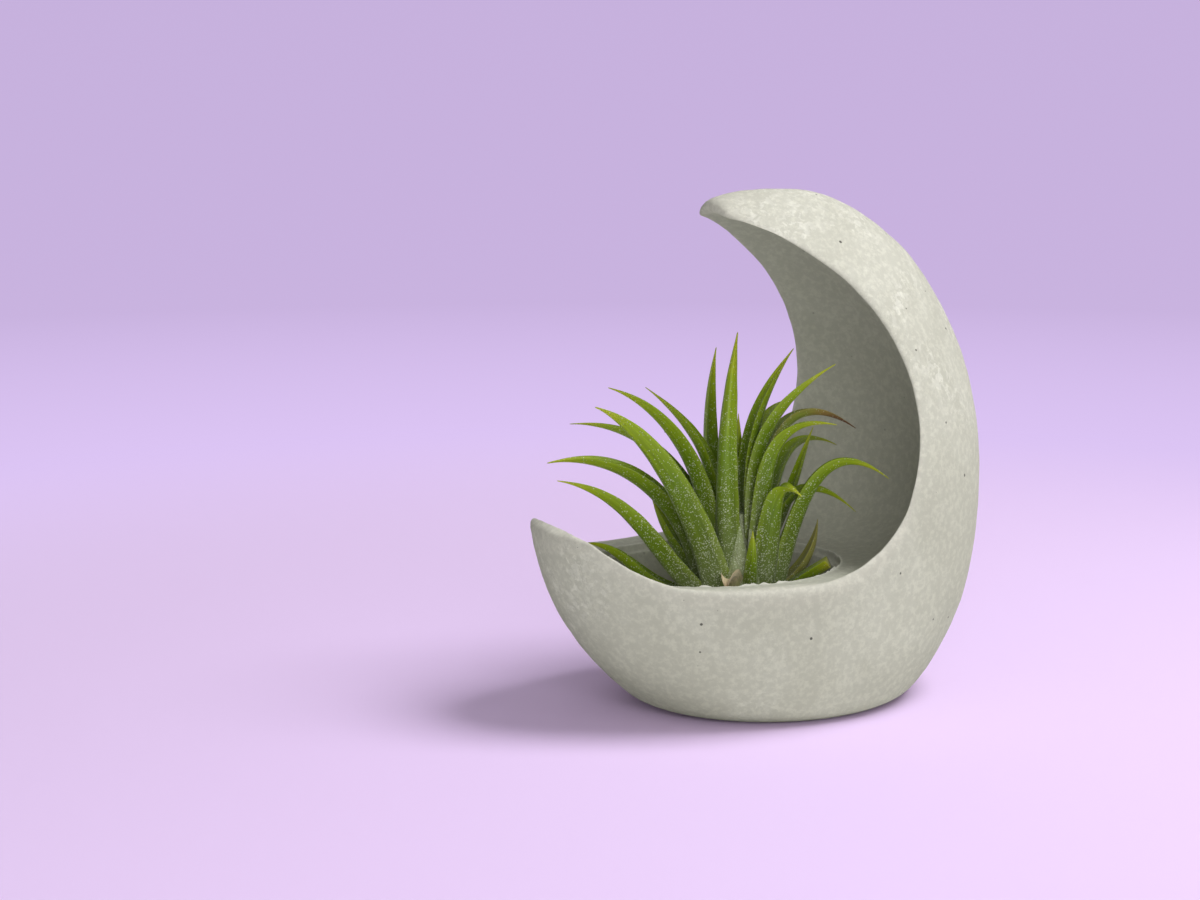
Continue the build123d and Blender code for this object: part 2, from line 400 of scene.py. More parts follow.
def chart(p):
    """Directions from the scoop's centre laid flat: the angle from the back of the bowl, turned
    round the mouth's axis."""
    out, down, front = np.moveaxis(unit(p - SCOOP_CENTRE) @ mouth_axes().T, -1, 0)
    turn = np.arctan2(front, down)
    return np.stack([np.cos(turn), np.sin(turn)], -1) * (math.pi - np.arccos(out))[..., None]


def unchart(flat):
    """The direction that a place on the chart stands for."""
    angle = np.linalg.norm(flat, axis=-1, keepdims=True)
    side = flat / (angle + 1e-9)
    axes = np.concatenate([-np.cos(angle), np.sin(angle) * side], -1)
    return axes @ mouth_axes()


def turns_about(loop, middle):
    """Angles of a closed line's points about a place on the chart, from 0 to one whole turn."""
    flat = chart(np.concatenate([loop, loop[:1]])) - middle
    turn = np.unwrap(np.arctan2(flat[:, 1], flat[:, 0]))
    return turn - turn[0]


def halving(filled, way, centre, most, rounds):
    """Where rays from a centre first meet what is filled, found by halving the distance."""
    low, high = np.zeros(way.shape[:-1]), np.full(way.shape[:-1], most)
    for _ in range(rounds):
        middle = (low + high) / 2
        empty = ~filled(centre + way * middle[..., None])
        low, high = np.where(empty, middle, low), np.where(empty, high, middle)
    return centre + way * low[..., None]


def scoop_hit(way):
    """Where rays from the scoop's centre meet the wall or the land."""
    return halving(lambda p: hollow(p) <= 0, way, SCOOP_CENTRE, 80.0, 18)


def egg_hit(way, centre):
    """Where rays from a point inside the egg leave it."""
    return halving(lambda p: (egg_field(p) >= 0) | (p[..., 2] >= EGG_HEIGHT), way, centre,
                   150.0, 34)


def bend(a, corner, b, steps):
    """Points of the curve that leaves a towards the corner and arrives at b from it."""
    share = np.linspace(0, 1, steps)[:, None, None]
    return (1 - share) ** 2 * a + 2 * share * (1 - share) * corner + share ** 2 * b


def waves(p, length, seed, count=9):
    """Smooth unevenness, about -1 to 1: the sum of sines in many directions, near one length."""
    draw = np.random.default_rng(seed)
    way = draw.normal(size=(count, 3))
    way *= 2 * math.pi / (length * draw.uniform(0.7, 1.5, (count, 1))
                          * np.linalg.norm(way, axis=1, keepdims=True))
    start = draw.uniform(0, 6.28, count)
    return np.sin(p @ way.T + start).sum(-1) / count ** 0.5 * 0.7


def skin(name, rings, marks, start=None, end=None):
    """Closed surface over rings, with a point at each end, which is the end ring's middle where
    none is given. marks are numbers at each vertex."""
    rows, cols = rings.shape[:2]
    start = rings[0].mean(0) if start is None else start
    end = rings[-1].mean(0) if end is None else end
    points = np.concatenate([start[None], rings.reshape(-1, 3), end[None]]) * MM
    quads, edge = ring_quads(rows, cols, 1), 1 + (rows - 1) * cols
    step, beyond = np.arange(cols), (np.arange(cols) + 1) % cols
    caps = np.concatenate([np.stack([0 * step, 1 + beyond, 1 + step], -1),
                           np.stack([edge + step, edge + beyond, 0 * step + rows * cols + 1], -1)])
    corner = points[quads]
    volume = np.einsum("ij,ij->i", corner[:, 0], np.cross(corner[:, 1], corner[:, 2])).sum()
    volume += np.einsum("ij,ij->i", corner[:, 0], np.cross(corner[:, 2], corner[:, 3])).sum()
    order = 1 if volume > 0 else -1
    mesh = bpy.data.meshes.new(name)
    faces = quads[:, ::order].tolist() + caps[:, ::order].tolist()
    mesh.from_pydata(points.tolist(), [], faces)
    for mark, values in marks.items():
        spread = np.concatenate([[values[0].mean()], values.reshape(-1), [values[-1].mean()]])
        mesh.attributes.new(mark, "FLOAT", "POINT").data.foreach_set("value", spread.astype("f"))
    mesh.shade_smooth()
    return mesh


def put(name, mesh, material, body, stands_for):
    """Adds a piece at the origin on its body, and hides the node that it stands for."""
    mesh.materials.append(material)
    piece = add_object(name, mesh)
    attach(piece, body)
    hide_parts(stands_for)


# every column of points runs from the pocket's rim to the lip and on down to the base, and leaves
# the rim and meets the lip at the same angle about the pocket, so that no two columns cross
rim_loop = oval(POCKET_X, *POCKET_RADII, LAND_HEIGHT)
lip_loop = lip_line()
middle = chart(rim_loop).mean(0) * [1, 0]
lip_turn, rim_turn = turns_about(lip_loop, middle), turns_about(rim_loop, middle)
lip_run = run_along(lip_loop)
lip_run /= lip_run[-1]
column = 0.62 * lip_run + 0.38 * lip_turn / lip_turn[-1]
wanted = np.arange(AROUND) / AROUND
lip = at(wanted, column, lip_loop)
window = np.hanning(11)[1:-1, None] / np.hanning(11).sum()
lip = sum(np.roll(lip, shift, axis=0) * share for shift, share in zip(range(-4, 5), window))
wanted = np.interp(wanted, column, lip_turn) * rim_turn[-1] / lip_turn[-1]
rim = at(wanted, rim_turn, rim_loop)
way_out = rim - np.array([POCKET_X, 0, LAND_HEIGHT])
way_out = unit(way_out / np.array([POCKET_RADII[0] ** 2, POCKET_RADII[1] ** 2, 1]))
upward = np.array([0, 0, 1.0])
ragged = np.clip(0.35 + 0.7 * waves(rim, 4.5, 11) + 0.5 * waves(rim, 1.5, 12), 0, 1.4)
ragged *= smooth(waves(rim, 14, 13), -0.9, 0.5)


def pocket_ring(inset, level, roughness=0.0):
    """The rim moved in by an inset to a level, with a little cast unevenness."""
    ring = rim - way_out * inset
    ring[:, 2] = level
    return ring + way_out * (roughness * waves(ring, 4.0, 21))[:, None]


ledge_level = LAND_HEIGHT - STEP_DEPTH
wall_foot, wall_top = POCKET_FLOOR + FLOOR_RADIUS, ledge_level - 0.35
pocket_centre = np.array([POCKET_X, 0, POCKET_FLOOR])
floor_edge = pocket_ring(LEDGE_WIDTH + FLOOR_RADIUS, POCKET_FLOOR)
pocket = [pocket_centre + (floor_edge - pocket_centre) * share
          for share in (0.12, 0.3, 0.5, 0.68, 0.84, 0.94)]
for angle in np.radians([0, 22, 45, 68]):
    pocket.append(pocket_ring(LEDGE_WIDTH + FLOOR_RADIUS * (1 - math.sin(angle)),
                              POCKET_FLOOR + FLOOR_RADIUS * (1 - math.cos(angle))))
for share in np.linspace(0, 1, 8):
    pocket.append(pocket_ring(LEDGE_WIDTH, wall_foot + share * (wall_top - wall_foot), 0.12))
# the ledge and the step above it: inset, level and roughness of each ring
pocket += [pocket_ring(*ring) for ring in (
    (LEDGE_WIDTH - 0.1, ledge_level - 0.1, 0.12), (LEDGE_WIDTH - 0.35, ledge_level, 0.1),
    (LEDGE_WIDTH * 0.5, ledge_level, 0.05), (0.3, ledge_level + 0.03, 0.05),
    (0.08, ledge_level + 0.25, 0.08), (0.0, ledge_level + 0.8, 0.1),
    (0.02, LAND_HEIGHT - 0.25, 0.12))]
# the flash: a ragged fin on the rim, and its outer foot
crest = pocket_ring(0.0, LAND_HEIGHT) + way_out * (0.10 - 0.25 * ragged)[:, None]
pocket.append(crest + upward * (FLASH_HEIGHT * ragged * 0.75)[:, None])
pocket.append(crest + way_out * 0.12 + upward * (FLASH_HEIGHT * ragged)[:, None])
pocket.append(pocket_ring(-0.42, LAND_HEIGHT) + upward * (FLASH_HEIGHT * ragged * 0.3)[:, None])
pocket_rows = len(pocket)

# the lip sinks where it is rounded, the more the sharper its edge, so it swells there first
egg_face, scoop_face = unit(slope(egg_field, lip)), unit(slope(hollow, lip))
half_sine = np.sin(np.arccos(np.clip(-(egg_face * scoop_face).sum(-1), -1, 1)) / 2)
lip_swell = np.clip(LIP_RADIUS * (1 - half_sine) - LIP_SINK * half_sine, 0, LIP_SWELL_MOST)
window = np.hanning(33) / np.hanning(33).sum()
lip_swell = np.convolve(np.pad(lip_swell, 16, mode="wrap"), window, mode="valid")
to_horn = np.minimum(np.arange(AROUND), AROUND - np.arange(AROUND)) / (AROUND / 2)
lip_swell *= smooth(to_horn, 0.0, 0.16) * smooth(1 - to_horn, 0.0, 0.14)
away = smooth(to_horn, 0.04, 0.3) * smooth(1 - to_horn, 0.02, 0.25)
lip_radius = HORN_RADIUS + (LIP_RADIUS - HORN_RADIUS) * away


def rounded(p):
    """The casting with the lip's radius and its swell at each place along the lip."""
    return casting(p, lip_radius, lip_swell)


# the land and the bowl, straight on the chart from the pocket's rim to just short of the lip
LAND_START, SHORT_OF_LIP = 0.8, 4.0
chart_a, chart_b = chart(pocket_ring(-LAND_START, LAND_HEIGHT)), chart(lip)
reach = np.linalg.norm(chart_b - chart_a, axis=1) * np.linalg.norm(lip - SCOOP_CENTRE, axis=1)
trim = np.minimum(SHORT_OF_LIP / reach, 0.5)
share = np.linspace(0, 1, LAND_ROWS)[:, None, None] * (1 - trim)[None, :, None]
inner = scoop_hit(unchart(chart_a + (chart_b - chart_a) * share))

# the egg, along great circles about its middle from just past the lip to just above the base
EGG_CENTRE = np.array([-20.0, 0, 50])
PAST_LIP, ABOVE_BASE = 4.5, 5.5
base_reach, base_x, base_depth = level_ellipse(np.array(0.0))
base_loop = oval(base_x, base_reach, base_depth, 0.0)
base_run = run_along(base_loop)
base_edge = at(np.linspace(0, base_run[-1], AROUND, endpoint=False), base_run, base_loop)
outer_a, outer_b = lip - EGG_CENTRE, base_edge - EGG_CENTRE
size_a, size_b = np.linalg.norm(outer_a, axis=1), np.linalg.norm(outer_b, axis=1)
angle = np.arccos(np.clip((outer_a * outer_b).sum(-1) / size_a / size_b, -1, 1))
ends = np.stack([PAST_LIP / (size_a * angle), 1 - ABOVE_BASE / (size_b * angle)])
share = ends[0] + np.linspace(0, 1, EGG_ROWS)[:, None] * (ends[1] - ends[0])
outer = egg_hit(swing(outer_a[None], outer_b[None], share[..., None]), EGG_CENTRE)

base_middle = np.array([base_x, 0, 0.0])
base_inner = base_middle + (base_edge - base_middle) * 0.78
shell = np.concatenate([inner, bend(inner[-1], lip, outer[0], LIP_ROWS)[1:-1], outer,
                        bend(outer[-1], base_edge, base_inner, BASE_ROWS)[1:]])
shell = settle(shell)
shell = relax(shell, 2, len(inner) + 24, 8)
shell = relax(shell, len(inner) - 12, len(inner) + 24, 10)
normal = slope(rounded, shell)
normal /= np.linalg.norm(normal, axis=-1, keepdims=True) + 1e-9
loose = smooth(shell[..., 2], 1.0, 8.0) * smooth(np.arange(len(shell)), 0, 10)[:, None]
bumps = sum(height * waves(shell, length, seed) for height, length, seed in CAST_WAVES)
shell = shell + normal * ((bumps - 0.08) * loose)[..., None]
base = [base_middle + (shell[-1] - base_middle) * share
        for share in (0.8, 0.6, 0.4, 0.2, 0.07)]
rings = np.concatenate([np.array(pocket), shell, np.array(base)])

row = np.arange(len(rings), dtype=float)[:, None] + np.zeros(AROUND)
lip_row = pocket_rows + LAND_ROWS + LIP_ROWS / 2 - 1
marks = {
    "outside": smooth(row, lip_row - 5, lip_row + 5),
    "lip": np.exp(-((row - lip_row) / 6.5) ** 2),
    "flash": np.exp(-((row - pocket_rows + 2.0) / 1.2) ** 2),
}
moon_mesh = skin("concrete_moon_cast", rings, marks, pocket_centre, base_middle)

# The casting's finish: fine pale grey concrete, cloudy and in places flaky outside. Inside the
# scoop it is smooth, and painted darker and a little greener as shade of the hollow. The lips are
# lighter, partly rubbed wear and partly a painted highlight. The pocket's rim has a pale flash, and
# the few pinholes are painted near black as the shade in them.
CONCRETE = {
    "body": (0.560, 0.552, 0.470),
    "cloud": (0.610, 0.602, 0.520),
    "stain": (0.490, 0.486, 0.415),
    "flake": (0.780, 0.770, 0.690),
    # painted shade: the scoop's inside is painted darker, as shade of the hollow
    "inside": (0.470, 0.474, 0.395),
    # lighter on the lips: partly rubbed wear, partly a painted highlight on the rounded edge
    "rubbed_and_highlight": (0.660, 0.640, 0.560),
    # painted shade: the pinholes are painted near black for the shade inside them
    "pinhole_shade": (0.060, 0.055, 0.050),
}
# noise scale, detail, roughness and warp, and the values where the pattern starts and is full
PATTERNS = {
    "cloud": (34, 5, 0.62, 0.6, 0.38, 0.66),
    "patch": (560, 5, 0.60, 0.5, 0.505, 0.54),
    "region": (30, 4, 0.6, 0.8, 0.46, 0.68),
    "speckle": (620, 4, 0.7, 0.0, 0.36, 0.72),
    "stain": (26, 6, 0.6, 0.4, 0.52, 0.74),
}
FLAKES_LEAST = 0.12                     # of the flakes stay low down on the right
PINHOLES = ((55.0, 0.10, 0.035), (190.0, 0.05, 0.13), (420.0, 0.07, 0.20))  # cells, share, size


def new_group(name, inputs, outputs):
    """An empty node group with named sockets, as (group, its input node, its output node)."""
    group = bpy.data.node_groups.new(name, "ShaderNodeTree")
    for label, kind, value in inputs:
        socket = group.interface.new_socket(label, in_out="INPUT", socket_type=kind)
        if value is not None:
            socket.default_value = value
    for label, kind in outputs:
        group.interface.new_socket(label, in_out="OUTPUT", socket_type=kind)
    ends = node(group, "NodeGroupInput", (-900, 0)), node(group, "NodeGroupOutput", (900, 0))
    return group, *ends


def feed(tree, socket, value):
    """Links a socket to another one's value, or sets it to a plain value."""
    if isinstance(value, bpy.types.NodeSocket):
        tree.links.new(value, socket)
    else:
        socket.default_value = value


def blend_colour(tree, place, factor, a, b, mode="MIX"):
    """A colour mix. factor, a and b are sockets or plain values."""
    mixer = node(tree, "ShaderNodeMix", place, data_type="RGBA", blend_type=mode)
    feed(tree, mixer.inputs[0], factor)
    for socket, value in ((mixer.inputs[6], a), (mixer.inputs[7], b)):
        feed(tree, socket, (*value, 1) if isinstance(value, tuple) else value)
    return mixer.outputs[2]


def shaded(tree, place, colour, value):
    """A colour made darker or lighter by a value."""
    grey = node(tree, "ShaderNodeCombineColor", place)
    link(tree, [(value, grey.inputs[i]) for i in range(3)])
    return blend_colour(tree, (place[0] + 200, 300), 1.0, colour, grey.outputs[0], "MULTIPLY")


def sums(tree, place, operation, *values, clamp=False):
    """A math node. Its values are sockets or plain numbers."""
    made = node(tree, "ShaderNodeMath", place, operation=operation, use_clamp=clamp)
    for socket, value in zip(made.inputs, values):
        feed(tree, socket, value)
    return made.outputs[0]


def between(tree, place, value, low, high, to_low=0.0, to_high=1.0):
    """A smooth step of a value from low to high."""
    made = node(tree, "ShaderNodeMapRange", place, interpolation_type="SMOOTHSTEP",
                in_From_Min=low, in_From_Max=high, in_To_Min=to_low, in_To_Max=to_high)
    tree.links.new(value, made.inputs["Value"])
    return made.outputs[0]


def noise(tree, place, vector, scale, detail=3.0, rough=0.5, warp=0.0):
    """A noise texture's value."""
    made = node(tree, "ShaderNodeTexNoise", place, in_Scale=scale, in_Detail=detail,
                in_Roughness=rough, in_Distortion=warp)
    tree.links.new(vector, made.inputs["Vector"])
    return made.outputs["Fac"]


def kept_marks(tree, names):
    """The numbers that a mesh keeps at its vertices under some names."""
    return [node(tree, "ShaderNodeAttribute", (-1800, -200 - 160 * i),
                 attribute_name=name).outputs["Fac"] for i, name in enumerate(names)]


def surface(tree, output, colour, roughness, height, strength, depth, **settings):
    """The shader of a finish, with a relief of a strength and a depth in metres."""
    relief = node(tree, "ShaderNodeBump", (350, -500), in_Strength=strength, in_Distance=depth)
    shader = node(tree, "ShaderNodeBsdfPrincipled", (600, 0), **settings)
    feed(tree, shader.inputs["Roughness"], roughness)
    link(tree, [(height, relief.inputs["Height"]), (relief.outputs[0], shader.inputs["Normal"]),
                (colour, shader.inputs["Base Color"]), (shader.outputs[0], output.inputs[0])])


def cell_group(name, cell_scale, share, more_inputs, puts_out):
    """A group that divides a piece into round cells and keeps a share of them, drawn by chance.
    Returned are the group, its ends, the way from a cell's middle, its chance and if it's kept."""
    group, source, sink = new_group(name, [("Place", "NodeSocketVector", None),
                                           ("Cell Scale", "NodeSocketFloat", cell_scale),
                                           ("Share", "NodeSocketFloat", share), *more_inputs],
                                    [(puts_out, "NodeSocketFloat")])
    cells = node(group, "ShaderNodeTexVoronoi", (-500, 0), feature="F1")
    chance = node(group, "ShaderNodeSeparateColor", (-300, 100))
    link(group, [(source.outputs["Place"], cells.inputs["Vector"]),
                 (source.outputs["Cell Scale"], cells.inputs["Scale"]),
                 (cells.outputs["Color"], chance.inputs[0])])
    kept = sums(group, (-100, 100), "LESS_THAN", chance.outputs[0], source.outputs["Share"])
    return group, source, sink, cells.outputs["Distance"], chance.outputs[1], kept


# pinholes: one cell in many keeps a tiny round spot
pinholes, source, sink, distance, chance, kept = cell_group(
    "cast_pinholes", 90.0, 0.1, [("Size", "NodeSocketFloat", 0.12)], "Hole")
radius = sums(pinholes, (-100, -100), "MULTIPLY", chance, source.outputs["Size"])
near = sums(pinholes, (100, -100), "DIVIDE", distance, radius)
spot = between(pinholes, (300, -100), near, 1.0, 0.7)
link(pinholes, [(sums(pinholes, (500, 0), "MULTIPLY", spot, kept), sink.inputs["Hole"])])

concrete, tree, output, place = new_material("cast_concrete")
outside, lip_mark, flash = kept_marks(tree, marks)
pattern = {}
for name, (*numbers, low, high) in PATTERNS.items():
    spot = 300 - 200 * len(pattern)
    made = noise(tree, (-1500, spot), place, *numbers)
    pattern[name] = between(tree, (-1300, spot), made, low, high)
apart = node(tree, "ShaderNodeSeparateXYZ", (-1600, 600))
link(tree, [(place, apart.inputs[0])])
high = between(tree, (-1400, 600), apart.outputs["Z"], 0.04, 0.10, FLAKES_LEAST, 1.0)
left = between(tree, (-1400, 500), apart.outputs["X"], 0.0, -0.035, FLAKES_LEAST, 1.0)
flaky = sums(tree, (-1200, 600), "MAXIMUM", high, left)
for spot, mask in enumerate((pattern["region"], pattern["patch"], outside)):
    flaky = sums(tree, (-1100 + 100 * spot, 600), "MULTIPLY", flaky, mask)
inside = sums(tree, (-900, 0), "SUBTRACT", 1.0, outside)

# each colour lies over the last one, where its mask is and as strongly as its number says
# the inside layer is painted shade of the hollow
layers = ((pattern["cloud"], 1.0, "cloud"), (pattern["stain"], 0.42, "stain"),
          # the lip layer is partly rubbed wear, partly a painted highlight
          (inside, 0.75, "inside"), (flaky, 0.8, "flake"), (lip_mark, 0.6, "rubbed_and_highlight"),
          (flash, 0.7, "flake"))
colour = CONCRETE["body"]
for spot, (mask, strength, name) in enumerate(layers):
    cover = sums(tree, (-800 + 150 * spot, 100), "MULTIPLY", mask, strength)
    colour = blend_colour(tree, (-700 + 150 * spot, 300), cover, colour, CONCRETE[name])
speckle = pattern["speckle"]
grain = between(tree, (-250, -300), speckle, 0.0, 1.0, 0.91, 1.06)
colour = shaded(tree, (-100, -300), colour, grain)
holes = []
for spot, (scale, share, size) in enumerate(PINHOLES):
    spots = node(tree, "ShaderNodeGroup", (-250, -500 - 200 * spot), node_tree=pinholes,
                 in_Cell_Scale=scale, in_Share=share, in_Size=size)
    link(tree, [(place, spots.inputs["Place"])])
    holes.append(spots.outputs["Hole"])
pits = sums(tree, (0, -600), "MAXIMUM", holes[0],
            sums(tree, (-50, -700), "MAXIMUM", *holes[1:]))
fewer_inside = between(tree, (0, -800), inside, 0.2, 0.9, 1.0, 0.35)
pits = sums(tree, (100, -600), "MULTIPLY", pits, fewer_inside)
# the pinholes painted near black: painted shade in the pits
colour = blend_colour(tree, (350, 300), sums(tree, (250, 100), "MULTIPLY", pits, 0.85), colour,
                      CONCRETE["pinhole_shade"])
fine = noise(tree, (-250, -1200), place, 1500, 4, 0.65)
height = sums(tree, (0, -1000), "MULTIPLY_ADD", flaky, 0.35,
              sums(tree, (-50, -1100), "MULTIPLY", fine, 0.5))
height = sums(tree, (150, -1000), "MULTIPLY_ADD", pits, -1.6, height)
height = sums(tree, (300, -1000), "MULTIPLY_ADD", speckle, 0.25, height)
rough = between(tree, (450, -300), flaky, 0.0, 1.0, 0.84, 0.95)
surface(tree, output, colour, rough, height, 0.35, 0.00022, in_Specular_IOR_Level=0.28)
put("concrete_moon_cast", moon_mesh, concrete, "holder", "concrete_moon")

# Leaves. Each is a thick pointed blade that clasps the bulb, stands up and arches over, with its
# edges rolled in to make a channel. Fine silvery scales cover it, thickest near its base.
PLANT_X, PLANT_Y, PLANT_FLOOR = -9.0, -1.0, 17.6
PLANT_REACH, PLANT_RISE = 44.0, 69.4
LEAF_WIDTH, LEAF_THICKNESS = 8.0, 2.5
# azimuth and the root's turn from it in degrees, share of the full width, and the spine's four
# points as shares of the plant's reach and rise
LEAVES = {
    "leaf_left_low": (151, -5, 0.62, (0.17, 0.12), (0.48, 0.08), (0.55, 0.29), (0.82, 0.28)),
    "leaf_left_sagging": (176, -5, 0.75, (0.18, 0.12), (0.47, 0.27), (0.56, 0.49), (1.0, 0.54)),
    "leaf_left_arching": (160, -4, 0.85, (0.16, 0.15), (0.25, 0.42), (0.56, 0.63), (1.0, 0.57)),
    "leaf_left_rear": (140, -4, 0.6, (0.14, 0.19), (0.18, 0.48), (0.44, 0.7), (0.92, 0.67)),
    "leaf_left_broad": (186, 14, 1.0, (0.15, 0.15), (0.25, 0.41), (0.52, 0.71), (0.86, 0.79)),
    "leaf_left_high": (160, 14, 0.85, (0.13, 0.21), (0.1, 0.47), (0.29, 0.75), (0.68, 0.82)),
    "leaf_rear_left_high": (134, 4, 0.6, (0.1, 0.27), (0.07, 0.52), (0.18, 0.67), (0.52, 0.8)),
    "leaf_upright_left": (108, 0, 0.6, (0.1, 0.27), (0.22, 0.48), (0.25, 0.73), (0.17, 0.94)),
    "leaf_upright_tall": (218, 0, 0.74, (0.11, 0.22), (0.18, 0.47), (0.17, 0.76), (0.02, 1.0)),
    "leaf_upright_inner": (96, 0, 0.4, (0.05, 0.35), (0.07, 0.5), (0.09, 0.7), (0.07, 0.89)),
    "leaf_right_high": (-9, -10, 0.65, (0.05, 0.35), (0.02, 0.61), (0.07, 0.75), (0.3, 0.94)),
    "leaf_right_up": (-32, -6, 0.65, (0.08, 0.31), (0.05, 0.6), (0.11, 0.75), (0.5, 0.9)),
    "leaf_rear_right_high": (34, 10, 0.55, (0.09, 0.3), (0.14, 0.54), (0.18, 0.75), (0.6, 0.73)),
    "leaf_red_tipped": (-4, 6, 0.6, (0.11, 0.27), (0.08, 0.6), (0.25, 0.85), (0.68, 0.66)),
    "leaf_right_mid": (-54, -6, 0.65, (0.13, 0.24), (0.15, 0.48), (0.11, 0.75), (0.56, 0.72)),
    "leaf_rear_right_arching": (20, 0, 0.6, (0.17, 0.17), (0.25, 0.41), (0.27, 0.72), (0.79, 0.57)),
    "leaf_right_arching": (-29, 0, 0.72, (0.19, 0.14), (0.28, 0.35), (0.39, 0.72), (0.79, 0.52)),
    "leaf_rear_right_low": (-10, 0, 0.5, (0.18, 0.17), (0.15, 0.41), (0.34, 0.58), (0.66, 0.38)),
    "leaf_front_small": (-62, 0, 0.85, (0.16, 0.17), (0.24, 0.36), (0.18, 0.57), (0.4, 0.48)),
    "leaf_front_broad": (-98, 8, 0.45, (0.17, 0.14), (0.23, 0.20), (0.26, 0.29), (0.25, 0.36)),
    "leaf_olive": (-14, 0, 0.5, (0.2, 0.12), (0.32, 0.17), (0.42, 0.24), (0.44, 0.36)),
    "leaf_small_tip": (62, 0, 0.4, (0.07, 0.31), (0.13, 0.47), (0.11, 0.6), (0.09, 0.72)),
    "leaf_rear_left_short": (131, 0, 0.6, (0.16, 0.18), (0.3, 0.22), (0.41, 0.31), (0.5, 0.43)),
    "leaf_rear_curled": (104, 0, 0.55, (0.12, 0.22), (0.25, 0.4), (0.34, 0.61), (0.61, 0.62)),
    "leaf_rear_right_short": (6, 0, 0.45, (0.13, 0.25), (0.3, 0.34), (0.36, 0.5), (0.48, 0.66)),
    "dried_leaf": (-125, 0, 0.6, (0.17, 0.16), (0.25, 0.23), (0.33, 0.23), (0.37, 0.18)),
    "cut_leaf_stub": (-36, 0, 0.75, (0.2, 0.12), (0.3, 0.16), (0.39, 0.2), (0.48, 0.24)),
}


def blade(azimuth, root_turn, width, shares, taper, thick, channel, twist, ripple, seed,
          rows=72, cols=26):
    """A leaf along a cubic Bezier spine. Its section is a flat oval whose edges bend up by the
    square of the way across, and it turns by twist towards the tip."""
    along = np.linspace(0, 1, rows) ** 0.92
    turn = np.radians([azimuth + root_turn, azimuth, azimuth, azimuth])
    reach, rise = np.array(shares).T
    spine = np.stack([PLANT_X + PLANT_REACH * reach * np.cos(turn),
                      PLANT_Y + PLANT_REACH * reach * np.sin(turn),
                      PLANT_FLOOR + PLANT_RISE * rise], -1)
    t = along[:, None]
    centre = ((1 - t) ** 3 * spine[0] + 3 * t * (1 - t) ** 2 * spine[1]
              + 3 * t ** 2 * (1 - t) * spine[2] + t ** 3 * spine[3])
    run = unit(np.gradient(centre, axis=0))
    side = np.array([-math.sin(turn[1]), math.cos(turn[1]), 0.0])
    side = unit(side - run * (run @ side)[:, None])
    up = np.cross(run, side)
    lean = (twist * along ** 1.6)[:, None]
    side, up = side * np.cos(lean) + up * np.sin(lean), up * np.cos(lean) - side * np.sin(lean)
    half = LEAF_WIDTH * width / 2 * taper(along)
    around = np.linspace(0, 2 * math.pi, cols, endpoint=False)
    over, depth = np.cos(around), np.sin(around)
    wavy = 1 + ripple * waves(centre, 7.0, seed)[:, None] * over
    sideways = half[:, None] * over * (1 - 0.12 * channel * np.abs(over) ** 3) * wavy
    fold = channel * half[:, None] * (over ** 2 - 0.45)
    fold = fold * (1 + ripple * waves(centre, 5.0, seed + 1)[:, None])
    fullest = thick * taper(along)[:, None] / 2
    body = fullest * depth * (1 - 0.72 * np.abs(over) ** 3)
    rings = (centre[:, None] + side[:, None] * sideways[..., None]
             + up[:, None] * (fold + body)[..., None])
    grid = np.ones((rows, cols))
    return rings, {"along": along[:, None] * grid, "across": np.abs(over) * grid,
                   "upper": depth * grid}


def pointed(along):
    """A leaf's width from base to tip: full and clasping below, then a long even point."""
    stations = (0.0, 0.1, 0.25, 0.42, 0.6, 0.75, 0.88, 0.96, 1.0)
    width = np.interp(along, stations, (1.22, 1.20, 1.10, 0.98, 0.82, 0.61, 0.33, 0.12, 0.03))
    padded = np.pad(width, 4, mode="edge")
    return np.convolve(padded, np.ones(9) / 9, mode="valid")


def blunt(along):
    """The cut stub keeps its width right to the cut."""
    return 0.96 - 0.1 * along + 0.04 * np.sin(3 * along)


# silvery scales: small pale flecks in cells, thinned out by a share
scales, source, sink, distance, chance, kept = cell_group("silvery_scales", 1700.0, 0.5, [],
                                                          "Fleck")
fleck = between(scales, (-100, -100), distance, 0.46, 0.20)
link(scales, [(sums(scales, (300, 0), "MULTIPLY", fleck, kept), sink.inputs["Fleck"])])
FLECK_CELLS, FLECK_COVER, BASE_HAZE = (2050.0, 3500.0), 0.74, 0.10


